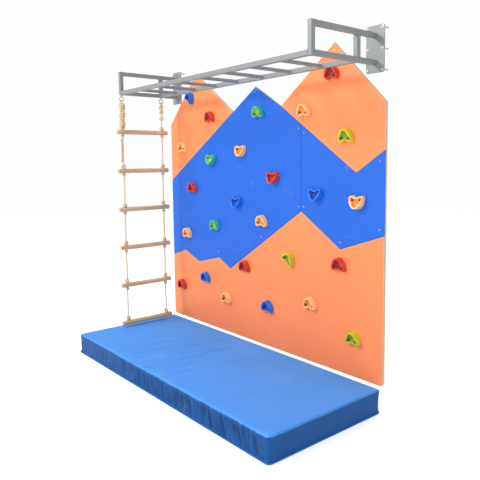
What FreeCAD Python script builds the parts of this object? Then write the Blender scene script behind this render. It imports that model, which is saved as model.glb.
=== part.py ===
import FreeCAD, Part
import math
import os

# Family climbing wall: five boards screwed to a building wall, bolt-on holds, an overhead
# ladder on two wall brackets, a rope ladder and a crash mat.
# X runs along the wall, +Y points into it, +Z is up. The origin is on the ground, at the
# middle of the whole set's footprint.

# Climbing face. Its outline, seams and fixing places are drawn on a pattern of this size,
# with x from the middle and z from the lowest edge, and stretch with the face.
pattern_width = 2440.0
pattern_height = 2240.0
wall_width = 2440.0
face_height = 2240.0
face_bottom = 170.0
panel_thickness = 18.0
panel_edge_chamfer = 3.5
panel_corner_radius = 25.0
seam_gap = 1.0

# Wood screws through the boards
screw_shank_radius = 2.3
screw_head_radius = 5.5
screw_head_height = 3.4
screw_length = 50.0

# Holds: a round head, two lobes, a notch between them, a finger dish, two bolts
hold_head_radius = 41.0
hold_lobe_radius = 19.0
hold_lobe_spacing = 78.0
hold_draft = 6.0
hold_bolt_spacing = 62.0
hold_head_offset = 7.0
hold_lobe_offset = -26.0
hold_bolt_offset = -14.0
hold_head_height = 50.0
hold_lobe_height = 27.0
hold_dish_radius = 34.0
hold_dish_depth = 16.0
hold_notch_radius = 15.0
hold_bolt_radius = 5.0
hold_bolt_clearance = 0.25
hold_bolt_head_radius = 8.0
hold_bolt_head_height = 10.0
hold_bolt_seat = 13.0
hold_bolt_socket = 4.0
hold_counterbore_clearance = 1.0

# Tee nuts let into the boards' backs
tee_barrel_radius = 6.2
tee_barrel_length = 11.0
tee_flange_radius = 12.0
tee_flange_thickness = 1.6

# Wall brackets and overhead ladder, of square tube
tube_size = 32.0
tube_wall = 2.0
bracket_inset = 97.0
bracket_reach = 562.0
inner_post_reach = 164.0
arm_spacing = 164.0
plate_width = 140.0
plate_height = 290.0
plate_thickness = 6.0
plate_corner_radius = 14.0
plate_gap = 15.0
stub_gap = 45.0
stub_insert = 60.0
stub_wall = 3.0
stub_clearance = 0.25
overhead_rung_radius = 12.5
overhead_rung_count = 7

# Wall anchors, two columns of three on each plate: a dome-headed bolt in an expansion sleeve
anchor_radius = 5.0
anchor_bolt_radius = 4.3
anchor_hole_radius = 5.5
anchor_embedment = 50.0
anchor_column_spacing = 112.0
anchor_row_spacing = 128.0
anchor_head_radius = 9.5
anchor_head_height = 6.0
washer_radius = 11.0
washer_thickness = 1.5

# Eye bolts under the left bracket
eye_ring_radius = 20.0
eye_wire_radius = 4.0
eye_shank_gap = 11.0
eye_nut_height = 6.0
eye_nut_flats = 13.0
eye_hole_clearance = 0.1

# Rope ladder
rope_radius = 7.0
rope_play = 0.5
rung_radius = 20.0
rung_overhang = 55.0
rung_end_rounding = 4.0
rung_hole_clearance = 0.4
ladder_rung_count = 6
first_rung_drop = 262.0
upper_knot_radius = 20.0
upper_knot_height = 42.0
lower_knot_radius = 15.0
lower_knot_height = 24.0
knot_mat_clearance = 8.0
hitch_radius = 20.0
hitch_neck = 17.0
front_hitch_length = 162.0
rear_hitch_length = 136.0
tail_gap = 1.0
tail_end_gap = 12.0

# Crash mat
mat_thickness = 150.0
mat_depth = 975.0
mat_corner_radius = 26.0
mat_top_rounding = 12.0
mat_wall_gap = 10.0
cover_thickness = 1.5
piping_size = 5.0
piping_height = 6.0

# Derived places
half_width = wall_width / 2
face_y = (mat_wall_gap + mat_depth + 2 * piping_size - panel_thickness - anchor_embedment) / 2
back_y = face_y + panel_thickness
plate_front_y = back_y - plate_thickness
bracket_x = half_width - bracket_inset
post_y = face_y - bracket_reach
inner_post_y = face_y - inner_post_reach
mat_back_y = face_y - mat_wall_gap - piping_size
mat_front_y = mat_back_y - mat_depth
mat_half_width = half_width - piping_size


def vec(x, y, z):
    return FreeCAD.Vector(x, y, z)


def on_face(place):
    """Pattern place to millimetres on the climbing face."""
    x = place[0] * wall_width / pattern_width
    z = face_bottom + place[1] * face_height / pattern_height
    return x, z


# Corners that the boards share, on the pattern
left_foot = (-1220, 0)
right_foot = (1220, 0)
left_low_seam = (-1220, 576)
left_wave_top = (-1017, 645)
left_wave_dip = (-802, 559)
middle_wave_top = (-499, 632)
middle_wave_dip = (-346, 556)
ridge = (491, 1094)
right_wave_dip = (858, 857)
right_low_seam = (1220, 981)
right_high_seam = (1220, 1522)
right_arrow = (990, 1376)
seam_head = (491, 1722)
left_high_seam = (-1220, 1292)
left_valley = (-284, 1865)
right_valley = (284, 1865)
crest = (0, 2038)
left_peak = (-800, 2240)
right_peak = (800, 2240)
left_shoulder = (-1220, 1815)
right_shoulder = (1220, 1815)

panels = {
    "panel_lower": [left_foot, right_foot, right_low_seam, right_wave_dip, ridge, middle_wave_dip,
                    middle_wave_top, left_wave_dip, left_wave_top, left_low_seam],
    "panel_middle_left": [left_low_seam, left_wave_top, left_wave_dip, middle_wave_top, middle_wave_dip,
                          ridge, seam_head, right_valley, crest, left_valley, left_high_seam],
    "panel_middle_right": [ridge, right_wave_dip, right_low_seam, right_high_seam, right_arrow, seam_head],
    "panel_upper_left": [left_high_seam, left_valley, left_peak, left_shoulder],
    "panel_upper_right": [right_high_seam, right_shoulder, right_peak, right_valley, right_arrow],
}

screw_places = [
    (-1175, 50), (-425, 60), (400, 60), (1175, 50),
    (-1180, 530), (-1180, 640), (-498, 590), (-505, 685), (90, 800), (57, 865),
    (490, 1048), (465, 1130), (517, 1130), (858, 812), (860, 905), (1180, 932), (1180, 1018),
    (-1178, 1275), (-1178, 1362), (-715, 1550), (-722, 1636), (-325, 1792), (-332, 1866),
    (0, 1995), (332, 1866), (468, 1690), (518, 1658), (716, 1600), (1180, 1452), (1180, 1560),
    (-1180, 1790), (1180, 1790), (-800, 2190), (800, 2190),
]

# Hold places on the pattern, each with its turn in degrees: 0 has the notch down
hold_places = {
    "holds_red": [(790, 2045, 0), (-585, 1845, 0), (-865, 1230, 0), (205, 1335, 180),
                  (860, 755, 0), (-140, 607, 0), (-1065, 310, 0)],
    "holds_peach": [(530, 1815, 0), (-175, 1545, 180), (-1010, 1600, 0), (1010, 1185, 180),
                    (75, 995, 0), (-960, 810, 0), (590, 435, 0), (-385, 300, 0)],
    "holds_lime": [(915, 1620, 0), (375, 735, -35), (985, 270, 0)],
    "holds_green": [(40, 1840, 0), (-580, 1480, 180), (-540, 915, 0)],
    "holds_blue": [(-880, 2035, -35), (-235, 1125, 180), (645, 1220, 180), (135, 325, 0),
                   (-685, 435, 0)],
}

# Bracket height: the plates clear the sloping shoulders of the face
peak_x, peak_z = on_face(right_peak)
shoulder_x, shoulder_z = on_face(right_shoulder)
shoulder_slope = (peak_z - shoulder_z) / (shoulder_x - peak_x)
plate_inner_x = bracket_x - plate_width / 2
plate_bottom = shoulder_z + (shoulder_x - plate_inner_x) * shoulder_slope + plate_gap
plate_z = plate_bottom + plate_height / 2
lower_arm_z = plate_z - arm_spacing / 2
upper_arm_z = plate_z + arm_spacing / 2
arm_bottom = lower_arm_z - tube_size / 2

# Rope ladder heights
eye_z = arm_bottom - eye_shank_gap - eye_wire_radius - 2 * eye_ring_radius
first_rung_z = eye_z - first_rung_drop
last_rung_z = mat_thickness + knot_mat_clearance + lower_knot_height + rung_radius
rung_pitch = (first_rung_z - last_rung_z) / (ladder_rung_count - 1)
rung_heights = [first_rung_z - rung_pitch * i for i in range(ladder_rung_count)]
rope_ys = {"front": post_y, "rear": inner_post_y}
ladder_x = -bracket_x


def box(x0, x1, y0, y1, z0, z1):
    return Part.makeBox(x1 - x0, y1 - y0, z1 - z0, vec(x0, y0, z0))


def cylinder(radius, start, end):
    axis = end - start
    return Part.makeCylinder(radius, axis.Length, start, axis)


def square_tube(start, end, closed=False):
    """Square tube between two points on its centre line, along X, Y or Z."""
    half = tube_size / 2
    direction = (end - start).normalize()
    side = vec(1, 1, 1) - vec(abs(direction.x), abs(direction.y), abs(direction.z))
    inner_side = side * (half - tube_wall)
    outer_side = side * half
    low = vec(min(start.x, end.x), min(start.y, end.y), min(start.z, end.z))
    high = vec(max(start.x, end.x), max(start.y, end.y), max(start.z, end.z))
    cap = direction * (tube_wall if closed else 0)
    outer_low = low - outer_side
    outer_high = high + outer_side
    inner_low = low - inner_side + cap
    inner_high = high + inner_side - cap
    outer = box(outer_low.x, outer_high.x, outer_low.y, outer_high.y, outer_low.z, outer_high.z)
    inner = box(inner_low.x, inner_high.x, inner_low.y, inner_high.y, inner_low.z, inner_high.z)
    return outer.cut(inner)


def hexagon(flats, height, centre, axis):
    """Hexagonal bar from a point along an axis."""
    corner = flats / math.sqrt(3)
    points = [vec(corner * math.cos(math.radians(60 * i)), corner * math.sin(math.radians(60 * i)), 0)
              for i in range(6)]
    bar = Part.Face(Part.makePolygon(points + points[:1])).extrude(vec(0, 0, height))
    bar.Placement = FreeCAD.Placement(centre, FreeCAD.Rotation(vec(0, 0, 1), axis))
    return bar


def revolved(profile, x, y):
    """Solid turned about a vertical line from (radius, z) corners."""
    points = [vec(x + r, y, z) for r, z in profile]
    return Part.Face(Part.makePolygon(points + points[:1])).revolve(vec(x, y, 0), vec(0, 0, 1), 360)


def save(name, solids):
    shape = solids[0] if len(solids) == 1 else Part.makeCompound(solids)
    shape.exportStep(os.path.join("parts", name + ".step"))


def wood_screw(place):
    x, z = on_face(place)
    into_wall = vec(0, 1, 0)
    head = Part.makeCone(screw_head_radius, screw_shank_radius, screw_head_height, vec(x, face_y, z), into_wall)
    shank = cylinder(screw_shank_radius, vec(x, face_y, z), vec(x, face_y + screw_length, z))
    return head.fuse(shank).removeSplitter()


def hold_blank():
    """One hold on the face at the origin, standing out along -Y, with its notch down."""
    head = vec(0, 0, hold_head_offset)
    lobes = [vec(side * hold_lobe_spacing / 2, 0, hold_lobe_offset) for side in (-1, 1)]
    outward = vec(0, -1, 0)
    height = hold_head_height
    body = Part.makeCone(hold_head_radius, hold_head_radius - hold_draft, height, head, outward)
    for lobe in lobes:
        body = body.fuse(Part.makeCone(hold_lobe_radius, hold_lobe_radius - hold_draft, height, lobe, outward))
    web = Part.makeLoft([web_outline(0, 0), web_outline(hold_draft, -height)], True, True)
    body = body.fuse(web).removeSplitter()
    notch = Part.makeCone(hold_notch_radius, hold_notch_radius + hold_draft, height,
                          vec(0, 0, hold_lobe_offset - hold_notch_radius / 2), outward)
    body = body.cut(notch)
    body = body.cut(front_slope())
    slope_at_dish = front_height(hold_head_offset - 5)
    dish_lift = hold_dish_radius - hold_dish_depth
    body = body.cut(Part.makeSphere(hold_dish_radius, vec(0, -slope_at_dish - dish_lift, hold_head_offset - 5)))
    for side in (-1, 1):
        foot = vec(side * hold_bolt_spacing / 2, 0, hold_bolt_offset)
        seat = foot + outward * hold_bolt_seat
        bore = hold_bolt_radius + hold_bolt_clearance
        recess = hold_bolt_head_radius + hold_counterbore_clearance
        body = body.cut(cylinder(bore, foot, seat))
        body = body.cut(cylinder(recess, seat, seat + outward * height))
    return body


def web_outline(inset, y):
    """Tangent web between the head and the two lobes, drawn in by an inset."""
    head_radius = hold_head_radius - inset
    lobe_radius = hold_lobe_radius - inset
    lobe_x = hold_lobe_spacing / 2
    run = math.hypot(lobe_x, hold_head_offset - hold_lobe_offset)
    lean = math.atan2(hold_head_offset - hold_lobe_offset, -lobe_x)
    normal = lean - math.acos((lobe_radius - head_radius) / run)
    c, s = math.cos(normal), math.sin(normal)
    right = [(head_radius * c, hold_head_offset + head_radius * s),
             (lobe_x + lobe_radius * c, hold_lobe_offset + lobe_radius * s),
             (lobe_x, hold_lobe_offset)]
    left = [(-x, z) for x, z in reversed(right)]
    points = [vec(x, y, z) for x, z in right + left]
    return Part.makePolygon(points + points[:1])


def front_height(z):
    """Height of the sloping front above the face at a height z on the hold."""
    top_z = hold_head_offset + hold_head_radius - hold_draft
    low_z = hold_lobe_offset - hold_lobe_radius + hold_draft
    return hold_lobe_height + (hold_head_height - hold_lobe_height) * (z - low_z) / (top_z - low_z)


def front_slope():
    """Everything in front of the hold's sloping front."""
    reach = 3 * hold_head_radius
    points = [vec(-reach, -front_height(z), z) for z in (-reach, reach)]
    points += [vec(-reach, -4 * hold_head_height, z) for z in (reach, -reach)]
    return Part.Face(Part.makePolygon(points + points[:1])).extrude(vec(2 * reach, 0, 0))


def hold_bolt():
    """Socket cap bolt of a hold, its axis through the origin along Y."""
    seat = vec(0, -hold_bolt_seat, 0)
    head_end = seat - vec(0, hold_bolt_head_height, 0)
    shank_end = vec(0, panel_thickness - 1, 0)
    bolt = cylinder(hold_bolt_radius, seat, shank_end).fuse(cylinder(hold_bolt_head_radius, head_end, seat))
    socket = hexagon(2 * hold_bolt_socket, hold_bolt_head_height / 2, head_end, vec(0, 1, 0))
    return bolt.cut(socket).removeSplitter()


def tee_nut():
    back = vec(0, panel_thickness, 0)
    flange_front = back - vec(0, tee_flange_thickness, 0)
    barrel_front = flange_front - vec(0, tee_barrel_length, 0)
    nut = cylinder(tee_barrel_radius, barrel_front, back).fuse(cylinder(tee_flange_radius, flange_front, back))
    return nut.cut(cylinder(hold_bolt_radius, barrel_front, back)).removeSplitter()


def tee_nut_pocket():
    """What a tee nut and its bolt need cut out of a board."""
    back = vec(0, panel_thickness, 0)
    flange_front = back - vec(0, tee_flange_thickness, 0)
    pocket = cylinder(tee_barrel_radius, vec(0, 0, 0), back)
    return pocket.fuse(cylinder(tee_flange_radius, flange_front, back)).removeSplitter()


def placed(shape, x, z, turn):
    copy = shape.copy()
    copy.rotate(vec(0, 0, 0), vec(0, 1, 0), -turn)
    copy.translate(vec(x, face_y, z))
    return copy


def bolt_places():
    """Both bolt axes of every hold, on the face."""
    places = []
    for group in hold_places.values():
        for px, pz, turn in group:
            x, z = on_face((px, pz))
            angle = math.radians(turn)
            for side in (-1, 1):
                bolt_x = side * hold_bolt_spacing / 2
                dx = bolt_x * math.cos(angle) - hold_bolt_offset * math.sin(angle)
                dz = bolt_x * math.sin(angle) + hold_bolt_offset * math.cos(angle)
                places.append((x + dx, z + dz))
    return places


def panel(corners, cutters):
    outline = Part.makePolygon([vec(on_face(c)[0], face_y, on_face(c)[1]) for c in corners + corners[:1]])
    outline = outline.makeOffset2D(-seam_gap / 2, 2)
    board = Part.Face(outline).extrude(vec(0, panel_thickness, 0))
    feet = [e for e in board.Edges
            if e.BoundBox.YLength > panel_thickness / 2 and e.BoundBox.ZMax < face_bottom + seam_gap]
    if feet:
        board = board.makeFillet(panel_corner_radius, feet)
    front = [e for e in board.Edges if e.BoundBox.YMax < face_y + panel_thickness / 4]
    board = board.makeChamfer(panel_edge_chamfer, front)
    near = [c for c in cutters if c.BoundBox.intersect(board.BoundBox)]
    return board.cut(near)


def make_climbing_face():
    screws = [wood_screw(place) for place in screw_places]
    pocket = tee_nut_pocket()
    pockets = [placed(pocket, x, z, 0) for x, z in bolt_places()]
    for name, corners in panels.items():
        save(name, [panel(corners, screws + pockets)])
    save("panel_screws", screws)


def make_holds():
    blank = hold_blank()
    for name, group in hold_places.items():
        save(name, [placed(blank, *on_face((px, pz)), turn) for px, pz, turn in group])
    save("hold_bolts", [placed(hold_bolt(), x, z, 0) for x, z in bolt_places()])
    save("hold_tee_nuts", [placed(tee_nut(), x, z, 0) for x, z in bolt_places()])


def anchor_places(x):
    return [(x + column * anchor_column_spacing / 2, plate_z + row * anchor_row_spacing)
            for column in (-1, 1) for row in (-1, 0, 1)]


def wall_plate(x):
    """Wall plate with a stub for each arm and six anchor holes."""
    half = plate_width / 2
    plate = box(x - half, x + half, plate_front_y, back_y, plate_bottom, plate_bottom + plate_height)
    corners = [e for e in plate.Edges if e.BoundBox.YLength > plate_thickness / 2]
    plate = plate.makeFillet(plate_corner_radius, corners)
    outer = tube_size / 2 - tube_wall - stub_clearance
    bore = outer - stub_wall
    front = plate_front_y - stub_gap - stub_insert
    for z in (lower_arm_z, upper_arm_z):
        stub = box(x - outer, x + outer, front, plate_front_y, z - outer, z + outer)
        stub = stub.cut(box(x - bore, x + bore, front, plate_front_y, z - bore, z + bore))
        plate = plate.fuse(stub)
    holes = [cylinder(anchor_hole_radius, vec(hx, plate_front_y, hz), vec(hx, back_y, hz))
             for hx, hz in anchor_places(x)]
    return plate.cut(holes).removeSplitter()


def eye_holes(x):
    radius = eye_wire_radius + eye_hole_clearance
    return [cylinder(radius, vec(x, y, arm_bottom), vec(x, y, arm_bottom + tube_wall)) for y in rope_ys.values()]


def bracket(x, has_eyes):
    """Two arms, a closed outer post and an inner post between the arms."""
    half = tube_size / 2
    arm_end = plate_front_y - stub_gap
    arms = [square_tube(vec(x, post_y + half, z), vec(x, arm_end, z)) for z in (lower_arm_z, upper_arm_z)]
    outer_post = square_tube(vec(x, post_y, arm_bottom), vec(x, post_y, upper_arm_z + half), closed=True)
    inner_post = square_tube(vec(x, inner_post_y, lower_arm_z + half), vec(x, inner_post_y, upper_arm_z - half))
    if has_eyes:
        arms[0] = arms[0].cut(eye_holes(x))
        outer_post = outer_post.cut(eye_holes(x))
    return arms + [outer_post, inner_post]


def anchor(x, z):
    """Dome-headed bolt through the plate, and its expansion sleeve in the wall behind."""
    washer_front = plate_front_y - washer_thickness
    tip = back_y + anchor_embedment
    bolt = cylinder(anchor_bolt_radius, vec(x, washer_front, z), vec(x, back_y, z))
    sleeve = cylinder(anchor_radius, vec(x, back_y, z), vec(x, tip, z))
    dome_radius = (anchor_head_radius ** 2 + anchor_head_height ** 2) / (2 * anchor_head_height)
    dome = Part.makeSphere(dome_radius, vec(x, washer_front - anchor_head_height + dome_radius, z))
    front = washer_front - 2 * anchor_head_height
    head = dome.common(box(x - dome_radius, x + dome_radius, front, washer_front, z - dome_radius, z + dome_radius))
    return head.fuse([bolt, sleeve]).removeSplitter()


def washer(x, z):
    front = vec(x, plate_front_y - washer_thickness, z)
    back = vec(x, plate_front_y, z)
    return cylinder(washer_radius, front, back).cut(cylinder(anchor_bolt_radius, front, back))


def make_frame():
    for name, x in (("left", -bracket_x), ("right", bracket_x)):
        save(name + "_wall_plate", [wall_plate(x)])
        save(name + "_bracket", bracket(x, name == "left"))
    places = anchor_places(-bracket_x) + anchor_places(bracket_x)
    save("anchor_bolts", [anchor(x, z) for x, z in places])
    save("anchor_washers", [washer(x, z) for x, z in places])

    half = tube_size / 2
    end = bracket_x - half
    save("front_rail", [square_tube(vec(-end, post_y, lower_arm_z), vec(end, post_y, lower_arm_z))])
    save("rear_rail", [square_tube(vec(-end, inner_post_y, lower_arm_z), vec(end, inner_post_y, lower_arm_z))])
    bay = 2 * bracket_x / (overhead_rung_count + 1)
    rungs = []
    for i in range(overhead_rung_count):
        x = -bracket_x + bay * (i + 1)
        start = vec(x, post_y + half, lower_arm_z)
        stop = vec(x, inner_post_y - half, lower_arm_z)
        rungs.append(cylinder(overhead_rung_radius, start, stop))
    save("overhead_rungs", rungs)


def eye_bolt(y):
    """Ring in the plane of the rope ladder, on a shank through the tube's lower wall."""
    ring_z = eye_z + eye_ring_radius
    ring = Part.makeTorus(eye_ring_radius, eye_wire_radius, vec(ladder_x, y, ring_z), vec(1, 0, 0))
    shank = cylinder(eye_wire_radius, vec(ladder_x, y, ring_z + eye_ring_radius),
                     vec(ladder_x, y, arm_bottom + tube_wall + eye_nut_height + 2))
    return ring.fuse(shank).removeSplitter()


def eye_nuts(y):
    """Lock nut under the tube and weld nut inside it."""
    nuts = []
    for z in (arm_bottom - eye_nut_height, arm_bottom + tube_wall):
        nut = hexagon(eye_nut_flats, eye_nut_height, vec(ladder_x, y, z), vec(0, 0, 1))
        nuts.append(nut.cut(cylinder(eye_wire_radius, vec(ladder_x, y, z), vec(ladder_x, y, z + eye_nut_height))))
    return nuts


def hitch(y, length):
    """Rope loop round the eye's lowest bar and the wrapped hitch below it."""
    loop_radius = eye_wire_radius + rope_play + rope_radius
    loop = Part.makeTorus(loop_radius, rope_radius, vec(ladder_x, y, eye_z), vec(0, 1, 0))
    top = eye_z - hitch_neck
    low = top - length
    wrap = revolved([(0, top), (hitch_radius - 4, top), (hitch_radius, top - 10), (hitch_radius, low + 12),
                     (rope_radius + 2, low), (0, low)], ladder_x, y)
    return loop.fuse(wrap).removeSplitter()


def knots(y, rung_z, next_pivot):
    """Knot above a rung, the rope through it and the knot below, hollowed for the next stretch."""
    top = rung_z + rung_radius
    low = rung_z - rung_radius
    end = low - lower_knot_height
    profile = [(0, top + upper_knot_height), (rope_radius + 1, top + upper_knot_height),
               (upper_knot_radius, top + 10), (upper_knot_radius - 3, top), (rope_radius, top),
               (rope_radius, low), (lower_knot_radius - 2, low), (lower_knot_radius, low - 6),
               (lower_knot_radius - 1, end), (0, end)]
    knot = revolved(profile, ladder_x, y)
    if next_pivot is not None:
        knot = knot.cut(Part.makeSphere(rope_radius + rope_play, vec(ladder_x, y, next_pivot)))
    return knot


def rope_stretch(y, top, bottom, round_top):
    stretch = cylinder(rope_radius, vec(ladder_x, y, bottom), vec(ladder_x, y, top))
    if round_top:
        stretch = stretch.fuse(Part.makeSphere(rope_radius, vec(ladder_x, y, top))).removeSplitter()
    return stretch


def ladder_rung(z):
    front = vec(ladder_x, post_y - rung_overhang, z)
    rear = vec(ladder_x, inner_post_y + rung_overhang, z)
    rung = cylinder(rung_radius, front, rear)
    ends = [e for e in rung.Edges if e.BoundBox.YLength < 1]
    rung = rung.makeFillet(rung_end_rounding, ends)
    hole = rope_radius + rung_hole_clearance
    return rung.cut([cylinder(hole, vec(ladder_x, y, z - rung_radius), vec(ladder_x, y, z + rung_radius))
                     for y in rope_ys.values()])


def pivot_below(rung_z):
    """Height at which the stretch below a rung bends."""
    return rung_z - rung_radius - lower_knot_height - rope_play


def make_rope_ladder():
    save("eye_bolts", [eye_bolt(y) for y in rope_ys.values()])
    save("eye_nuts", [nut for y in rope_ys.values() for nut in eye_nuts(y)])
    hitch_lengths = {"front": front_hitch_length, "rear": rear_hitch_length}
    for side, y in rope_ys.items():
        save("hitch_" + side, [hitch(y, hitch_lengths[side])])
    for i, z in enumerate(rung_heights):
        number = str(i + 1)
        last = i == ladder_rung_count - 1
        next_pivot = None if last else pivot_below(z)
        save("ladder_rung_" + number, [ladder_rung(z)])
        save("ladder_knots_" + number, [knots(y, z, next_pivot) for y in rope_ys.values()])
        bottom = z + rung_radius + upper_knot_height
        for side, y in rope_ys.items():
            top = eye_z - hitch_neck - hitch_lengths[side] if i == 0 else pivot_below(rung_heights[i - 1])
            save("rope_" + side + "_" + number, [rope_stretch(y, top, bottom, i > 0)])
    tail_y = post_y - 2 * rope_radius - tail_gap
    tail_top = pivot_below(rung_heights[0]) - tail_end_gap
    tail_bottom = rung_heights[1] + rung_radius + upper_knot_height + tail_end_gap
    save("ladder_tail", [rope_stretch(tail_y, tail_top, tail_bottom, False)])


def mat_block(inset):
    """Mat body with rounded corners and a rounded top edge, drawn in by an inset."""
    half = mat_half_width - inset
    block = box(-half, half, mat_front_y + inset, mat_back_y - inset, inset, mat_thickness - inset)
    corners = [e for e in block.Edges if e.BoundBox.ZLength > mat_thickness / 2]
    block = block.makeFillet(mat_corner_radius - inset, corners)
    top = [e for e in block.Edges if e.BoundBox.ZMin > mat_thickness / 2]
    return block.makeFillet(mat_top_rounding - inset, top)


def make_mat():
    outer = mat_block(0)
    foam = mat_block(cover_thickness)
    save("mat_cover", [outer.cut(foam)])
    save("mat_foam", [foam])
    ring = box(-mat_half_width - piping_size, mat_half_width + piping_size, mat_front_y - piping_size,
               mat_back_y + piping_size, piping_height, piping_height + piping_size)
    corners = [e for e in ring.Edges if e.BoundBox.ZLength > piping_size / 2]
    ring = ring.makeFillet(mat_corner_radius + piping_size, corners)
    save("mat_piping", [ring.cut(outer)])


os.makedirs("parts", exist_ok=True)
make_climbing_face()
make_holds()
make_frame()
make_rope_ladder()
make_mat()
print("face_y", round(face_y, 2), "back_y", round(back_y, 2), "bracket_x", round(bracket_x, 2))
print("plate_z", round(plate_z, 2), "arm z", round(lower_arm_z, 2), round(upper_arm_z, 2))
print("eye_z", round(eye_z, 2), "rungs", [round(z, 1) for z in rung_heights], "pitch", round(rung_pitch, 2))
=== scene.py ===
import math

import bmesh
import bpy
from mathutils import Matrix, Vector, noise


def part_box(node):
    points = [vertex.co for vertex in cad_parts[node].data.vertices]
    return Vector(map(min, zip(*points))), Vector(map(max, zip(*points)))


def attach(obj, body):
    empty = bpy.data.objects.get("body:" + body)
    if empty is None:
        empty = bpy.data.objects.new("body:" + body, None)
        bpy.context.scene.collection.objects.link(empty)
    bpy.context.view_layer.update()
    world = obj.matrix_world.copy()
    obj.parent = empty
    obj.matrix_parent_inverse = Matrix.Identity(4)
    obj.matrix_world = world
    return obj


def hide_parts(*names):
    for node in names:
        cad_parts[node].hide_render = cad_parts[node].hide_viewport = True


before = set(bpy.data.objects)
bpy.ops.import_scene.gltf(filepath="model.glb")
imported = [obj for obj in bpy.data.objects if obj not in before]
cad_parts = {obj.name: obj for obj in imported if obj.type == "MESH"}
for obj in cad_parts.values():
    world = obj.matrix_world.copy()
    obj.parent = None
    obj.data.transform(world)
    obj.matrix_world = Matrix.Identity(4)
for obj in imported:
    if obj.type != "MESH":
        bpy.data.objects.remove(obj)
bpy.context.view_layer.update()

scene = bpy.context.scene
wallBody = "wall_set"
print("frame loaded")


def toLinear(colour):
    # screen colour, 0 to 255, to what the shader works in
    return tuple((c / 255 / 12.92) if c < 10.3 else ((c / 255 + 0.055) / 1.055) ** 2.4 for c in colour) + (1.0,)


def moved(x, y, z):
    return Matrix.Translation((x, y, z))


def sized(x, y, z):
    return Matrix.Diagonal((x, y, z, 1.0))


def smoothStep(low, high, value):
    t = min(1.0, max(0.0, (value - low) / (high - low)))
    return t * t * (3 - 2 * t)


def boxMiddle(node):
    low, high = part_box(node)
    return (low + high) / 2


def barAlongY(bm, middle, length, radius, endRadius=None, segments=48):
    # round bar about a middle; the first radius is at its +Y end
    return bmesh.ops.create_cone(bm, cap_ends=True, segments=segments, radius1=radius,
                                 radius2=radius if endRadius is None else endRadius, depth=length,
                                 matrix=moved(*middle) @ Matrix.Rotation(math.pi / 2, 4, "X"))["verts"]


def edgesOf(verts):
    return set(e for v in verts for e in v.link_edges)


def spanOf(edge, axis):
    return abs((edge.verts[0].co - edge.verts[1].co)[axis])


def roundEdges(bm, edges, radius, segments):
    bmesh.ops.bevel(bm, geom=edges, offset=radius, segments=segments, affect="EDGES", profile=0.5, material=-1)


def newObject(name, data):
    obj = bpy.data.objects.new(name, data)
    scene.collection.objects.link(obj)
    return obj


def shadeSmooth(mesh, degrees=38):
    for face in mesh.polygons:
        face.use_smooth = True
    mesh.set_sharp_from_angle(angle=math.radians(degrees))


def toMesh(name, bm, outward=False):
    if outward:
        bmesh.ops.recalc_face_normals(bm, faces=bm.faces[:])
    mesh = bpy.data.meshes.new(name)
    bm.to_mesh(mesh)
    bm.free()
    return mesh


def withFlats(mesh):
    # flat faces stay flat beside their rounded edges
    obj = newObject("flats", mesh)
    obj.modifiers.new("flats", "WEIGHTED_NORMAL").keep_sharp = True
    better = evaluated(obj)
    bpy.data.objects.remove(obj)
    return better


def addPiece(name, mesh, material, body=wallBody, nodes=(), degrees=38, flats=False):
    # a finished piece: shaded, painted, riding on its body and standing for its nodes
    shadeSmooth(mesh, degrees)
    if flats:
        mesh = withFlats(mesh)
        mesh.name = name
    mesh.materials.clear()
    mesh.materials.append(material)
    obj = newObject(name, mesh)
    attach(obj, body)
    if nodes:
        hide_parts(*nodes)
    return obj


def dressNode(node, material):
    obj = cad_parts[node]
    obj.data.materials.clear()
    obj.data.materials.append(material)


def evaluated(obj):
    # the object's mesh with its modifiers or section worked in
    bpy.context.view_layer.update()
    graph = bpy.context.evaluated_depsgraph_get()
    return bpy.data.meshes.new_from_object(obj.evaluated_get(graph))


def dropObject(obj):
    data = obj.data
    bpy.data.objects.remove(obj)
    if data and data.users == 0:
        {"Mesh": bpy.data.meshes, "Curve": bpy.data.curves}[type(data).__name__].remove(data)


def curveLine(points):
    # points along the smooth NURBS line of a route
    curve = bpy.data.curves.new("route", "CURVE")
    curve.dimensions = "3D"
    spline = curve.splines.new("NURBS")
    spline.points.add(len(points) - 1)
    for point, place in zip(spline.points, points):
        point.co = (*place, 1)
    spline.order_u = min(3, len(points))
    spline.use_endpoint_u = True
    spline.resolution_u = 24
    obj = newObject("route", curve)
    mesh = bpy.data.meshes.new_from_object(obj)
    line = [v.co.copy() for v in mesh.vertices]
    bpy.data.meshes.remove(mesh)
    dropObject(obj)
    return line


def evenly(line, step, closed=False):
    # the same line with points a step apart
    places = list(line) + ([line[0]] if closed else [])
    lengths = [0.0]
    for a, b in zip(places, places[1:]):
        lengths.append(lengths[-1] + (b - a).length)
    count = max(3, round(lengths[-1] / step))
    out, k = [], 0
    for i in range(count if closed else count + 1):
        want = lengths[-1] * i / count
        while k < len(lengths) - 2 and lengths[k + 1] < want:
            k += 1
        run = lengths[k + 1] - lengths[k]
        out.append(places[k].lerp(places[k + 1], (want - lengths[k]) / run if run else 0))
    return out, lengths[-1]


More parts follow.
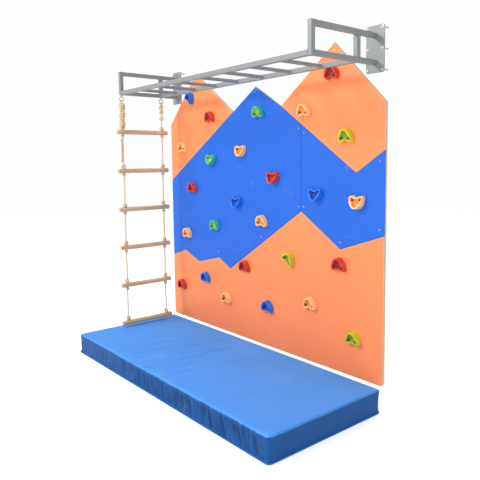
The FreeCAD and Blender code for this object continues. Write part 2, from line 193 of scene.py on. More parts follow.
def sweptMesh(points, radius, profile=None, twistLength=None, closed=False, swell=None, sides=4):
    # a tube along points; a profile curve gives its section, and the section turns once in twistLength
    curve = bpy.data.curves.new("sweep", "CURVE")
    curve.dimensions = "3D"
    curve.twist_mode = "MINIMUM"
    spline = curve.splines.new("POLY")
    spline.points.add(len(points) - 1)
    spline.use_cyclic_u = closed
    along = 0.0
    total = sum((b - a).length for a, b in zip(points, points[1:] + (points[:1] if closed else [])))
    turns = total / twistLength if twistLength else 0
    if closed:
        turns = round(turns)
    for i, place in enumerate(points):
        if i:
            along += (place - points[i - 1]).length
        spline.points[i].co = (*place, 1)
        spline.points[i].tilt = 2 * math.pi * turns * along / total
        spline.points[i].radius = swell(along / total) if swell else 1.0
    if profile:
        curve.bevel_mode = "OBJECT"
        curve.bevel_object = profile
        for point in spline.points:
            point.radius *= radius
    else:
        curve.bevel_mode = "ROUND"
        curve.bevel_depth = radius
        curve.bevel_resolution = sides
    curve.use_fill_caps = not closed
    obj = newObject("sweep", curve)
    mesh = evaluated(obj)
    dropObject(obj)
    return mesh


def joined(name, meshes):
    bm = bmesh.new()
    for mesh in meshes:
        bm.from_mesh(mesh)
        bpy.data.meshes.remove(mesh)
    bmesh.ops.remove_doubles(bm, verts=bm.verts[:], dist=0.00002)
    return toMesh(name, bm, outward=True)


def addNode(tree, kind, settings=None, **inputs):
    # inputs by name, spaces as underscores, or by number as in0, in1
    node = tree.nodes.new(kind)
    for name, value in (settings or {}).items():
        setattr(node, name, value)
    for name, value in inputs.items():
        numbered = name[:2] == "in" and name[2:].isdigit()
        socket = node.inputs[int(name[2:]) if numbered else name.replace("_", " ")]
        if isinstance(value, bpy.types.NodeSocket):
            tree.links.new(value, socket)
        else:
            socket.default_value = value
    return node


def mathNode(tree, operation, first, second=0.0, clamp=False):
    node = addNode(tree, "ShaderNodeMath", {"operation": operation, "use_clamp": clamp}, in0=first, in1=second)
    return node.outputs[0]


def plus(tree, first, second, clamp=False):
    return mathNode(tree, "ADD", first, second, clamp)


def minus(tree, first, second):
    return mathNode(tree, "SUBTRACT", first, second)


def times(tree, first, second):
    return mathNode(tree, "MULTIPLY", first, second)


def mixColour(tree, factor, first, second, blend="MIX"):
    node = addNode(tree, "ShaderNodeMix", {"data_type": "RGBA", "blend_type": blend},
                   in0=factor, in6=first, in7=second)
    return node.outputs[2]


def spread(tree, value, low, high, toLow=0.0, toHigh=1.0):
    node = addNode(tree, "ShaderNodeMapRange", {"interpolation_type": "SMOOTHSTEP"}, in0=value,
                   in1=low, in2=high, in3=toLow, in4=toHigh)
    return node.outputs[0]


def stretched(tree, vector, scale):
    return addNode(tree, "ShaderNodeMapping", None, Vector=vector, Scale=scale).outputs[0]


def noiseOf(tree, vector, scale, detail=2.0, roughness=0.5, distortion=0.0):
    node = addNode(tree, "ShaderNodeTexNoise", None, Vector=vector, Scale=scale, Detail=detail,
                   Roughness=roughness, Distortion=distortion)
    return node.outputs["Fac"]


def newGroup(name, numbers, outputs):
    # a group that takes a vector and some numbers, and puts out numbers
    tree = bpy.data.node_groups.new(name, "ShaderNodeTree")
    tree.interface.new_socket("Vector", in_out="INPUT", socket_type="NodeSocketVector")
    for label, value in numbers.items():
        tree.interface.new_socket(label, in_out="INPUT", socket_type="NodeSocketFloat").default_value = value
    for label in outputs:
        tree.interface.new_socket(label, in_out="OUTPUT", socket_type="NodeSocketFloat")
    return tree, tree.nodes.new("NodeGroupInput").outputs, tree.nodes.new("NodeGroupOutput").inputs


def makeToneDrift():
    # slow light and dark patches, as in any painted or moulded surface
    tree, given, out = newGroup("toneDrift", {"Scale": 3.0, "Amount": 0.05}, ["Value"])
    slow = noiseOf(tree, given["Vector"], given["Scale"], 3.0)
    swing = times(tree, minus(tree, slow, 0.5), 2.6)
    tree.links.new(plus(tree, times(tree, swing, given["Amount"]), 1.0), out["Value"])
    return tree


def makeTooth():
    # fine surface tooth, for a bump node
    tree, given, out = newGroup("fineTooth", {"Scale": 400.0}, ["Height"])
    fine = noiseOf(tree, given["Vector"], given["Scale"], 4.0, 0.65)
    coarse = noiseOf(tree, given["Vector"], times(tree, given["Scale"], 0.22), 2.0)
    tree.links.new(plus(tree, times(tree, fine, 0.6), times(tree, coarse, 0.4)),
                   out["Height"])
    return tree


def makeScuffs():
    # short rubbed streaks, more where a slow noise is high
    tree, given, out = newGroup("rubbedScuffs", {"Scale": 8.0, "Amount": 0.3}, ["Mask"])
    streaks = []
    for angle, stretch in ((0.5, (1.0, 1.0, 9.0)), (-0.7, (8.0, 1.0, 1.2))):
        turned = addNode(tree, "ShaderNodeMapping", None, Vector=given["Vector"],
                         Rotation=(0, angle, 0), Scale=stretch)
        streak = noiseOf(tree, turned.outputs[0], given["Scale"], 5.0, 0.6, 0.4)
        streaks.append(spread(tree, streak, 0.61, 0.72))
    patches = spread(tree, noiseOf(tree, given["Vector"], 2.3, 1.0), 0.48, 0.68)
    both = mathNode(tree, "MAXIMUM", streaks[0], streaks[1])
    tree.links.new(times(tree, times(tree, both, patches), given["Amount"]), out["Mask"])
    return tree


def makeGrain():
    # wood fibres that run along the vector's Y
    tree, given, out = newGroup("woodGrain", {"Scale": 30.0}, ["Figure", "Height"])
    long = stretched(tree, given["Vector"], (1.0, 0.06, 1.0))
    bands = noiseOf(tree, long, given["Scale"], 4.0, 0.55, 1.2)
    fibre = noiseOf(tree, long, times(tree, given["Scale"], 9.0), 3.0, 0.6)
    figure = plus(tree, times(tree, bands, 0.7), times(tree, fibre, 0.3))
    tree.links.new(spread(tree, figure, 0.32, 0.68), out["Figure"])
    tree.links.new(fibre, out["Height"])
    return tree


def makeWeave():
    # plain weave of two thread sets in the vector's X and Y
    tree, given, out = newGroup("plainWeave", {"Scale": 900.0}, ["Height"])
    split = addNode(tree, "ShaderNodeSeparateXYZ", None, Vector=given["Vector"])
    waves = []
    for axis in (0, 1):
        phase = times(tree, split.outputs[axis], given["Scale"])
        waves.append(mathNode(tree, "SINE", phase))
    crossed = times(tree, waves[0], waves[1])
    tree.links.new(plus(tree, times(tree, crossed, 0.5), 0.5), out["Height"])
    return tree


groups = {
    "drift": makeToneDrift(), "tooth": makeTooth(), "scuffs": makeScuffs(), "grain": makeGrain(),
    "weave": makeWeave(),
}


def useGroup(tree, name, **inputs):
    node = addNode(tree, "ShaderNodeGroup", {"node_tree": groups[name]}, **inputs)
    return node.outputs


def newMaterial(name, **constants):
    material = bpy.data.materials.new(name)
    material.use_nodes = True
    tree = material.node_tree
    shader = tree.nodes["Principled BSDF"]
    for label, value in constants.items():
        shader.inputs[label.replace("_", " ")].default_value = value
    place = addNode(tree, "ShaderNodeTexCoord").outputs["Object"]
    return material, tree, shader, place


def bumpFrom(tree, shader, height, strength, distance):
    bump = addNode(tree, "ShaderNodeBump", None, Height=height, Strength=strength, Distance=distance)
    tree.links.new(bump.outputs[0], shader.inputs["Normal"])


def paintWith(tree, shader, tone, rough):
    tree.links.new(tone, shader.inputs["Base Color"])
    tree.links.new(rough, shader.inputs["Roughness"])


def scaled(tree, colour, factor):
    return addNode(tree, "ShaderNodeVectorMath", {"operation": "SCALE"}, in0=colour, Scale=factor).outputs[0]


print("shared effects built")

boardLook = {
    "orange": (248, 134, 80),
    "blue": (4, 92, 200),
    "core": (206, 188, 162),
    "coreDark": (168, 146, 120),
    "back": (214, 184, 138),
    "plyPitch": 0.0030,
}


def makeBoardMaterial(name, colour, bareChamfer):
    material, tree, shader, place = newMaterial(name, Specular_IOR_Level=0.42)
    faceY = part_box("panel_lower")[0].y
    normal = addNode(tree, "ShaderNodeNewGeometry").outputs["True Normal"]
    facing = addNode(tree, "ShaderNodeSeparateXYZ", None, Vector=normal).outputs[1]
    isFront = mathNode(tree, "LESS_THAN", facing, -0.9)
    isPainted = mathNode(tree, "LESS_THAN", facing, -0.9 if bareChamfer else -0.5)
    isBack = mathNode(tree, "GREATER_THAN", facing, 0.9)

    drift = useGroup(tree, "drift", Vector=place, Scale=1.6, Amount=0.055)["Value"]
    scuff = useGroup(tree, "scuffs", Vector=place, Scale=7.0, Amount=0.16)["Mask"]
    paint = scaled(tree, toLinear(colour)[:3], drift)
    pale = mixColour(tree, 0.55, toLinear(colour), (1, 1, 1, 1))
    paint = mixColour(tree, scuff, paint, pale)

    # plies of the core, seen on the chamfer and the edges
    depth = minus(tree, addNode(tree, "ShaderNodeSeparateXYZ", None, Vector=place).outputs[1], faceY)
    wobble = times(tree, noiseOf(tree, place, 35.0, 2.0), 0.0006)
    ply = mathNode(tree, "PINGPONG", plus(tree, depth, wobble), boardLook["plyPitch"])
    plyMask = spread(tree, ply, boardLook["plyPitch"] * 0.45, boardLook["plyPitch"] * 0.55)
    edge = mixColour(tree, plyMask, toLinear(boardLook["core"]), toLinear(boardLook["coreDark"]))
    worn = times(tree, noiseOf(tree, place, 60.0, 3.0), 0.35)
    edge = mixColour(tree, worn, edge, toLinear(boardLook["core"]))

    # bare back veneer with upright figure
    upright = addNode(tree, "ShaderNodeMapping", None, Vector=place, Rotation=(math.pi / 2, 0, 0)).outputs[0]
    grain = useGroup(tree, "grain", Vector=upright, Scale=9.0)
    back = mixColour(tree, grain["Figure"], toLinear(boardLook["back"]), toLinear(boardLook["coreDark"]))

    surface = mixColour(tree, isPainted, edge, paint)
    surface = mixColour(tree, isBack, surface, back)
    rubbed = plus(tree, 0.44, times(tree, scuff, 0.5))
    rough = plus(tree, rubbed, times(tree, noiseOf(tree, place, 14.0, 3.0), 0.12))
    bare = times(tree, minus(tree, 1.0, isFront), 0.25)
    paintWith(tree, shader, surface, plus(tree, rough, bare, clamp=True))
    tooth = useGroup(tree, "tooth", Vector=place, Scale=260.0)["Height"]
    bumpFrom(tree, shader, tooth, 0.12, 0.001)
    return material


def dressBoards():
    orange = makeBoardMaterial("orangeBoardPaint", boardLook["orange"], True)
    blue = makeBoardMaterial("blueBoardPaint", boardLook["blue"], False)
    for node in ("panel_lower", "panel_upper_left", "panel_upper_right"):
        dressNode(node, orange)
    for node in ("panel_middle_left", "panel_middle_right"):
        dressNode(node, blue)


zincLook = {"bright": (186, 186, 180), "brightRoughness": 0.34, "dull": (96, 94, 90), "dullRoughness": 0.50}


def makeZinc(name, colour, roughness):
    material, tree, shader, place = newMaterial(name, Metallic=0.9)
    drift = useGroup(tree, "drift", Vector=place, Scale=60.0, Amount=0.10)["Value"]
    spangle = addNode(tree, "ShaderNodeTexVoronoi", None, Vector=place, Scale=420.0).outputs["Color"]
    tone = mixColour(tree, 0.12, scaled(tree, toLinear(colour)[:3], drift), spangle, "SOFT_LIGHT")
    dull = times(tree, noiseOf(tree, place, 180.0, 3.0), 0.22)
    paintWith(tree, shader, tone, plus(tree, dull, roughness - 0.1))
    bumpFrom(tree, shader, useGroup(tree, "tooth", Vector=place, Scale=900.0)["Height"], 0.15, 0.0004)
    return material


def dressFixings():
    zinc = makeZinc("zincSteel", zincLook["bright"], zincLook["brightRoughness"])
    dull = makeZinc("dullZinc", zincLook["dull"], zincLook["dullRoughness"])
    for node in ("anchor_bolts", "anchor_washers", "eye_bolts", "eye_nuts"):
        dressNode(node, zinc)
    for node in ("hold_bolts", "hold_tee_nuts"):
        dressNode(node, dull)
    return zinc


screwLook = {"head": 0.0034, "shank": 0.0023, "tip": 0.0005, "recess": 0.0036, "recessDepth": 0.0016}


def islandsOf(node):
    # low and high corners of each separate solid of a node
    bm = bmesh.new()
    bm.from_mesh(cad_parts[node].data)
    bmesh.ops.remove_doubles(bm, verts=bm.verts[:], dist=0.00001)
    bm.verts.ensure_lookup_table()
    seen, out = set(), []
    for start in bm.verts:
        if start.index in seen:
            continue
        stack, part = [start], []
        seen.add(start.index)
        while stack:
            vert = stack.pop()
            part.append(vert.co.copy())
            for edge in vert.link_edges:
                other = edge.other_vert(vert)
                if other.index not in seen:
                    seen.add(other.index)
                    stack.append(other)
        low = Vector([min(p[k] for p in part) for k in range(3)])
        high = Vector([max(p[k] for p in part) for k in range(3)])
        out.append((low, high))
    bm.free()
    return out


def makeScrews(steel):
    # countersunk heads with a cross recess, on their shanks
    look = screwLook
    bm = bmesh.new()
    for low, high in islandsOf("panel_screws"):
        x, z = (low.x + high.x) / 2, (low.z + high.z) / 2
        headRadius, front = (high.x - low.x) / 2, low.y
        head = barAlongY(bm, (x, front + look["head"] / 2, z), look["head"], headRadius * 0.45, headRadius, 24)
        cap = [f for f in set(f for v in head for f in v.link_faces) if f.normal.y < -0.9 and len(f.verts) > 8]
        bmesh.ops.inset_region(bm, faces=cap, thickness=headRadius * 0.42)
        spin = noise.noise(Vector((x * 7, 0, z * 7))) * 3
        for f in cap:
            for v in f.verts:
                angle = math.atan2(v.co.z - z, v.co.x - x) - spin
                arm = abs(math.cos(2 * angle))
                reach = look["recess"] * (0.34 + 0.66 * arm ** 3)
                v.co.x = x + reach * math.cos(angle + spin)
                v.co.z = z + reach * math.sin(angle + spin)
        sunk = bmesh.ops.extrude_face_region(bm, geom=cap)["geom"]
        down = [g for g in sunk if isinstance(g, bmesh.types.BMVert)]
        bmesh.ops.delete(bm, geom=cap, context="FACES_ONLY")
        for v in down:
            v.co.y += look["recessDepth"]
            v.co.x += (x - v.co.x) * 0.35
            v.co.z += (z - v.co.z) * 0.35
        barAlongY(bm, (x, (high.y + front) / 2, z), high.y - front - 0.002, look["tip"], look["shank"], 16)
    addPiece("boardScrews", toMesh("boardScrews", bm), steel, nodes=["panel_screws"],
             degrees=30)


holdLook = {
    "headRadius": 0.041, "headHeight": 0.007,
    "cheekRadius": 0.0345, "cheekSide": 0.0190, "cheekHeight": -0.0050,
    "earRadius": 0.0195, "earSide": 0.0390, "earHeight": -0.0260, "draft": 0.006,
    "height": 0.050, "lowHeight": 0.028,
    "notchHeight": -0.0560, "notchRadius": 0.0230, "notchMouth": 0.0300,
    "boltSpacing": 0.062, "boltHeight": -0.014, "boltSeat": 0.013, "boltHole": 0.0050, "boltRecess": 0.0078,
    # the bowl: balls by side, height out from the board, height, radii and lean, each list under one skin
    "hollow": [(0, 0.050, 0.0060, (0.0275, 0.036, 0.0265), -0.25), (0, 0.040, -0.010, (0.0225, 0.026, 0.0150), 0.0)],
    "earHollow": [(0.013, 0.044, -0.004, (0.0185, 0.028, 0.0180), 0.0),
                  (0.036, 0.036, -0.023, (0.0110, 0.020, 0.0110), 0.0)],
    "rim": 0.0060, "voxel": 0.0020, "smoothing": 8, "chalk": (236, 230, 220),
    # each colour pair: rim, then bowl; the bowl colour is the rim's painted darker as painted shade, and for the
    # green it is also a second hue
    "colours": {
        "holds_red": ((208, 50, 30), (140, 14, 8)),
        "holds_peach": ((252, 190, 128), (236, 138, 62)),
        "holds_lime": ((186, 194, 24), (128, 146, 8)),
        "holds_green": ((40, 176, 140), (150, 172, 26)),
        "holds_blue": ((6, 112, 218), (4, 44, 168)),
    },
}


def frontHeight(z):
    # the sloping front of a hold above the board
    look = holdLook
    top = look["headHeight"] + look["headRadius"] - look["draft"]
    low = look["earHeight"] - look["earRadius"] + look["draft"]
    return look["lowHeight"] + (look["height"] - look["lowHeight"]) * (z - low) / (top - low)


def cutBy(obj, cutter):
    cut = obj.modifiers.new("cut", "BOOLEAN")
    cut.object = cutter
    cut.operation = "DIFFERENCE"
    cut.solver = "EXACT"


def coneAlong(bm, x, z, radius, endRadius, start, end, segments=48):
    # tapering round bar from start to end, both measured out from the board
    barAlongY(bm, (x, -(start + end) / 2, z), end - start, radius, endRadius, segments)


def wrapTight(bm):
    # one skin stretched over everything in the bmesh
    bmesh.ops.delete(bm, geom=bm.edges[:], context="EDGES_FACES")
    bmesh.ops.convex_hull(bm, input=bm.verts[:])
    bmesh.ops.delete(bm, geom=[v for v in bm.verts if not v.link_faces], context="VERTS")


def hollowFrom(balls, side):
    hollow = bmesh.new()
    for x, out, z, radii, lean in balls:
        place = moved(side * x, -out, z) @ Matrix.Rotation(lean, 4, "X") @ sized(*radii)
        bmesh.ops.create_uvsphere(hollow, u_segments=32, v_segments=20, radius=1, matrix=place)
    wrapTight(hollow)
    return hollow


def insideHold(x, z):
    # how far a point lies inside the outline of a hold's front
    look = holdLook
    best = look["headRadius"] - math.hypot(x, z - look["headHeight"])
    ax, az = abs(x), z
    start, end = Vector((0, look["headHeight"])), Vector((look["earSide"], look["earHeight"]))
    t = min(1.0, max(0.0, (Vector((ax, az)) - start).dot(end - start) / (end - start).length_squared))
    radius = look["headRadius"] + (look["earRadius"] - look["headRadius"]) * t
    cheek = look["cheekRadius"] - math.hypot(ax - look["cheekSide"], az - look["cheekHeight"])
    return max(best, cheek, radius - (Vector((ax, az)) - start.lerp(end, t)).length) - look["draft"] * 0.8


def makeHoldMesh():
    look = holdLook
    full = look["height"] + 0.004
    bm = bmesh.new()
    halves = []
    for side in (-1, 1):
        # each half is a skin from the round head to one ear
        half = bmesh.new()
        for part, x in (("head", 0), ("cheek", side * look["cheekSide"]), ("ear", side * look["earSide"])):
            radius = look[part + "Radius"]
            coneAlong(half, x, look[part + "Height"], radius, radius - look["draft"], 0, full)
        wrapTight(half)
        halves.append(toMesh("half", half, outward=True))
    for mesh in halves:
        bm.from_mesh(mesh)
        bpy.data.meshes.remove(mesh)
    body = newObject("holdBody", toMesh("holdBody", bm))
    merge = body.modifiers.new("merge", "REMESH")
    merge.mode = "VOXEL"
    merge.voxel_size = look["voxel"]
    cutters = []

    def cutterFrom(cutMesh):
        cutter = newObject("holdCutter", toMesh("holdCutter", cutMesh, outward=True))
        cutter.hide_render = True
        cutters.append(cutter)
        cutBy(body, cutter)

    notch = bmesh.new()
    coneAlong(notch, 0, look["notchHeight"], look["notchRadius"], look["notchMouth"], -0.01, 0.06)
    cutterFrom(notch)
    slope = bmesh.new()
    lean = math.atan2(frontHeight(0.05) - frontHeight(-0.05), 0.1)
    tilted = moved(0, -frontHeight(0), 0) @ Matrix.Rotation(lean, 4, "X")
    bmesh.ops.create_cube(slope, size=0.2, matrix=tilted @ moved(0, -0.1, 0))
    cutterFrom(slope)

    # the bowl: one hollow under the hood that runs out into both ears
    cutterFrom(hollowFrom(look["hollow"], 1))
    for side in (-1, 1):
        cutterFrom(hollowFrom(look["earHollow"], side))

    remesh = body.modifiers.new("remesh", "REMESH")
    remesh.mode = "VOXEL"
    remesh.voxel_size = look["voxel"]
    soften = body.modifiers.new("soften", "SMOOTH")
    soften.factor = 0.5
    soften.iterations = look["smoothing"]
    for side in (-1, 1):
        for radius, seat in ((look["boltRecess"], look["boltSeat"]), (look["boltHole"], -0.01)):
            recess = bmesh.new()
            x = side * look["boltSpacing"] / 2
            coneAlong(recess, x, look["boltHeight"], radius, radius * 1.02, seat, 0.06, 32)
            cutterFrom(recess)
    mesh = evaluated(body)
    for cutter in cutters:
        dropObject(cutter)
    dropObject(body)

    # how far inside the bowl each point lies
    bowl = mesh.attributes.new("bowl", "FLOAT", "POINT")
    for v in mesh.vertices:
        below = frontHeight(v.co.z) + v.co.y
        within = smoothStep(look["rim"] * 0.4, look["rim"] * 1.1, insideHold(v.co.x, v.co.z))
        bowl.data[v.index].value = smoothStep(0.001, 0.009, below) * within
        v.co.y = min(v.co.y, 0.0)
    return mesh


def makeHoldMaterial(name, rim, inside):
    material, tree, shader, place = newMaterial(name, Specular_IOR_Level=0.45)
    depth = addNode(tree, "ShaderNodeAttribute", {"attribute_name": "bowl"}).outputs["Fac"]
    drift = useGroup(tree, "drift", Vector=place, Scale=26.0, Amount=0.07)["Value"]
    swirl = times(tree, minus(tree, noiseOf(tree, place, 22.0, 2.0), 0.5), 0.35)
    # painted shade: the deeper into the bowl, the more of the darker bowl colour is used
    bowlShade = plus(tree, depth, times(tree, swirl, depth), clamp=True)
    tone = mixColour(tree, bowlShade, toLinear(rim), toLinear(inside))
    tone = scaled(tree, tone, drift)
    chalk = times(tree, spread(tree, noiseOf(tree, place, 48.0, 4.0), 0.56, 0.74), 0.16)
    tone = mixColour(tree, chalk, tone, toLinear(holdLook["chalk"]))
    worn = times(tree, noiseOf(tree, place, 30.0, 2.0), 0.2)
    paintWith(tree, shader, tone, plus(tree, worn, 0.38))
    bumpFrom(tree, shader, useGroup(tree, "tooth", Vector=place, Scale=650.0)["Height"], 0.35, 0.0009)
    return material


def makeHolds():
    blank = makeHoldMesh()
    print("hold shaped:", len(blank.polygons), "faces")
    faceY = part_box("panel_lower")[0].y
    bolts = [((low.x + high.x) / 2, (low.z + high.z) / 2) for low, high in islandsOf("hold_bolts")]
    for node, (rim, inside) in holdLook["colours"].items():
        bm = bmesh.new()
        for low, high in islandsOf(node):
            x, z = (low.x + high.x) / 2, (low.z + high.z) / 2
            (ax, az), (bx, bz) = sorted(bolts, key=lambda b: math.hypot(b[0] - x, b[1] - z))[:2]
            up = Vector((-(bz - az), bx - ax)).normalized()
            mid = Vector(((ax + bx) / 2, (az + bz) / 2))
            if up.dot(Vector((x, z)) - mid) < 0:
                up = -up
            origin = mid - up * holdLook["boltHeight"]
            turn = math.atan2(up.x, up.y)
            place = moved(origin.x, faceY, origin.y) @ Matrix.Rotation(turn, 4, "Y")
            one = blank.copy()
            one.transform(place)
            bm.from_mesh(one)
            bpy.data.meshes.remove(one)
        material = makeHoldMaterial(node.replace("holds_", "resin"), rim, inside)
        addPiece("hold" + node[6:].title(), toMesh(node, bm), material, nodes=[node],
                 degrees=50)


frameLook = {
    "colour": (131, 135, 136), "scuffed": (168, 171, 170), "warmed": (134, 130, 114),
    "cornerRadius": 0.0035,
    "weldRadius": 0.0022,
    "weldStep": 0.0055,
    "plateThickness": 0.006,
    "plateCorner": 0.014,
    "plateEdge": 0.0009,
    "stubSide": 0.0275,
    "stubCorner": 0.003,
    "rungRadius": 0.0125,
}


def makeFramePaint():
    material, tree, shader, place = newMaterial("greyPowderCoat", Specular_IOR_Level=0.5, Metallic=0.15)
    drift = useGroup(tree, "drift", Vector=place, Scale=5.0, Amount=0.06)["Value"]
    scuff = useGroup(tree, "scuffs", Vector=place, Scale=20.0, Amount=0.35)["Mask"]
    tone = scaled(tree, toLinear(frameLook["colour"])[:3], drift)
    tone = mixColour(tree, scuff, tone, toLinear(frameLook["scuffed"]))
    warm = spread(tree, noiseOf(tree, place, 2.4, 1.0), 0.45, 0.7, 0.0, 0.25)
    tone = mixColour(tree, warm, tone, toLinear(frameLook["warmed"]))
    paintWith(tree, shader, tone, plus(tree, 0.36, times(tree, noiseOf(tree, place, 90.0, 3.0), 0.18)))
    bumpFrom(tree, shader, useGroup(tree, "tooth", Vector=place, Scale=520.0)["Height"], 0.22, 0.0006)
    return material


def addTube(bm, start, end, side, radius):
    # square tube with rounded corners between two points on its centre line
    start, end = Vector(start), Vector(end)
    along = end - start
    axis = max(range(3), key=lambda k: abs(along[k]))
    size = [side, side, side]
    size[axis] = along.length
    verts = bmesh.ops.create_cube(bm, size=1, matrix=moved(*((start + end) / 2)) @ sized(*size))["verts"]
    roundEdges(bm, [e for e in edgesOf(verts) if spanOf(e, axis) > 1e-5], radius, 4)


def weldAround(centre, normal, side, isRound=False):
    # rippled bead round the foot of a tube that butts on a face
    centre = Vector(centre)
    axis = max(range(3), key=lambda k: abs(Vector(normal)[k]))
    first, second = [Vector([1 if k == a else 0 for k in range(3)]) for a in range(3) if a != axis]
    half = side / 2
    if isRound:
        turns = [math.tau * i / 24 for i in range(24)]
        line = [centre + first * half * math.cos(t) + second * half * math.sin(t) for t in turns]
    else:
        corner = half * 0.86
        line = [centre + first * a + second * b
                for a, b in ((-half, -corner), (-half, corner), (-corner, half), (corner, half),
                             (half, corner), (half, -corner), (corner, -half), (-corner, -half))]
    points, length = evenly(line, 0.0022, closed=True)

    def ripple(t):
        wave = abs(math.sin(t * length / frameLook["weldStep"] * math.pi))
        return 0.85 + 0.25 * wave + 0.12 * noise.noise(centre * 40 + Vector((t * 9, 0, 0)))

    return sweptMesh(points, frameLook["weldRadius"], closed=True, swell=ripple, sides=2)


def makeBracket(side, paint):
    low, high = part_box(side + "_bracket")
    plateLow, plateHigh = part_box(side + "_wall_plate")
    rail = boxMiddle("front_rail")
    rear = boxMiddle("rear_rail")
    x, tube = (low.x + high.x) / 2, high.x - low.x
    half, corner = tube / 2, frameLook["cornerRadius"]
    topZ, lowZ = high.z - half, low.z + half
    bm = bmesh.new()
    addTube(bm, (x, rail.y, low.z), (x, rail.y, high.z), tube, corner)
    for z in (topZ, lowZ):
        addTube(bm, (x, rail.y + half - 0.0005, z), (x, high.y, z), tube, corner)
    addTube(bm, (x, rear.y, lowZ + half - 0.0005), (x, rear.y, topZ - half + 0.0005), tube, corner)
    welds = [weldAround((x, rail.y + half, z), (0, 1, 0), tube) for z in (topZ, lowZ)]
    welds += [weldAround((x, rear.y, z), (0, 0, 1), tube) for z in (lowZ + half, topZ - half)]
    bracket = joined(side + "Bracket", [toMesh("bracketTubes", bm)] + welds)
    addPiece(side + "Bracket", bracket, paint, nodes=[side + "_bracket"], flats=True)

    # wall plate with the two stubs that the arms slide over
    front = plateHigh.y - frameLook["plateThickness"]
    bm = bmesh.new()
    middle, size = (plateLow + plateHigh) / 2, plateHigh - plateLow
    place = moved(middle.x, (front + plateHigh.y) / 2, middle.z) @ sized(size.x, frameLook["plateThickness"], size.z)
    verts = bmesh.ops.create_cube(bm, size=1, matrix=place)["verts"]
    roundEdges(bm, [e for e in edgesOf(verts) if spanOf(e, 1) > 0.001], frameLook["plateCorner"], 8)
    roundEdges(bm, [e for e in bm.edges if spanOf(e, 1) < 1e-5], frameLook["plateEdge"], 2)
    for z in (topZ, lowZ):
        addTube(bm, (x, plateLow.y, z), (x, front, z), frameLook["stubSide"], frameLook["stubCorner"])
    welds = [weldAround((x, front, z), (0, 1, 0), frameLook["stubSide"]) for z in (topZ, lowZ)]
    plate = joined(side + "WallPlate", [toMesh("wallPlate", bm)] + welds)
    addPiece(side + "WallPlate", plate, paint, nodes=[side + "_wall_plate"], flats=True)


def makeOverheadLadder(paint):
    low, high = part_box("front_rail")
    tube = high.z - low.z
    for node, name in (("front_rail", "frontRail"), ("rear_rail", "rearRail")):
        low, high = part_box(node)
        middle = (low + high) / 2
        bm = bmesh.new()
        start, end = (low.x - 0.0005, middle.y, middle.z), (high.x + 0.0005, middle.y, middle.z)
        addTube(bm, start, end, tube, frameLook["cornerRadius"])
        welds = [weldAround((x, middle.y, middle.z), (1, 0, 0), tube) for x in (low.x, high.x)]
        rail = joined(name, [toMesh(name, bm)] + welds)
        addPiece(name, rail, paint, nodes=[node], flats=True)
    pieces = []
    for low, high in islandsOf("overhead_rungs"):
        middle = (low + high) / 2
        bm = bmesh.new()
        barAlongY(bm, middle, high.y - low.y + 0.001, frameLook["rungRadius"], segments=40)
        pieces.append(toMesh("rung", bm))
        pieces += [weldAround((middle.x, y, middle.z), (0, 1, 0), 2 * frameLook["rungRadius"], isRound=True)
                   for y in (low.y, high.y)]
    rungs = joined("overheadRungs", pieces)
    addPiece("overheadRungs", rungs, paint, nodes=["overhead_rungs"])


ropeLook = {
    "radius": 0.0072,
    "colour": (232, 216, 184),
    "shade": (176, 150, 112),
    "pitch": 0.052,
    "step": 0.0032,
    "knotPitch": 0.036,
    "upperKnot": {"width": 0.052, "rope": 0.94, "cone": 0.42},
    "lowerKnot": {"width": 0.036, "rope": 0.80, "cone": -0.1},
    "sway": [(0.0015, -0.001), (-0.001, 0.0012), (0.0012, 0.001), (-0.0014, -0.0008), (0.001, 0.0014),
             (-0.001, 0.0006)],
}

hitchLook = {
    "eyeLoop": 0.0122, "eyeDrop": 0.0185,
    "strands": 6, "strandReach": 0.0175,
    "bindingReach": 0.0245, "bindingRope": 0.75,
    # knots of the rear hitch: height, width, rope size, cone, turn
    "rearKnots": [(0.038, 0.050, 0.95, 0.1, 0.4), (0.034, 0.044, 0.90, 0.0, 2.6), (0.036, 0.047, 0.92, -0.1, 1.9)],
}

rungLook = {"colour": (226, 196, 158), "dark": (188, 150, 112), "endBevel": 0.004}


def strandProfile():
    # section of a three-strand rope, one unit in radius
    curve = bpy.data.curves.new("strandSection", "CURVE")
    curve.dimensions = "2D"
    spline = curve.splines.new("POLY")
    count = 24
    spline.points.add(count - 1)
    spline.use_cyclic_u = True
    for i in range(count):
        angle = math.tau * i / count
        off = (angle + math.pi / 3) % (math.tau / 3) - math.pi / 3
        reach = 0.536 * math.cos(off) + math.sqrt(max(0.0, 0.464 ** 2 - (0.536 * math.sin(off)) ** 2))
        reach = max(reach, 0.74)
        spline.points[i].co = (reach * math.cos(angle), reach * math.sin(angle), 0, 1)
    obj = newObject("strandSection", curve)
    obj.hide_render = True
    return obj


def makeRopeMaterial():
    material, tree, shader, place = newMaterial("twistedCotton", Specular_IOR_Level=0.2, Sheen_Weight=0.25)
    fuzz = noiseOf(tree, place, 700.0, 4.0, 0.7)
    slow = useGroup(tree, "drift", Vector=place, Scale=18.0, Amount=0.09)["Value"]
    crest = spread(tree, fuzz, 0.3, 0.62)
    tone = mixColour(tree, crest, toLinear(ropeLook["shade"]), toLinear(ropeLook["colour"]))
    tree.links.new(scaled(tree, tone, slow), shader.inputs["Base Color"])
    shader.inputs["Roughness"].default_value = 0.9
    bumpFrom(tree, shader, fuzz, 0.5, 0.0012)
    return material


def makeRungWood():
    material, tree, shader, place = newMaterial("oiledHardwood", Specular_IOR_Level=0.4)
    grain = useGroup(tree, "grain", Vector=place, Scale=55.0)
    drift = useGroup(tree, "drift", Vector=place, Scale=6.0, Amount=0.10)["Value"]
    tone = mixColour(tree, grain["Figure"], toLinear(rungLook["colour"]), toLinear(rungLook["dark"]))
    paintWith(tree, shader, scaled(tree, tone, drift), plus(tree, 0.42, times(tree, grain["Height"], 0.25)))
    bumpFrom(tree, shader, grain["Height"], 0.25, 0.0008)
    return material


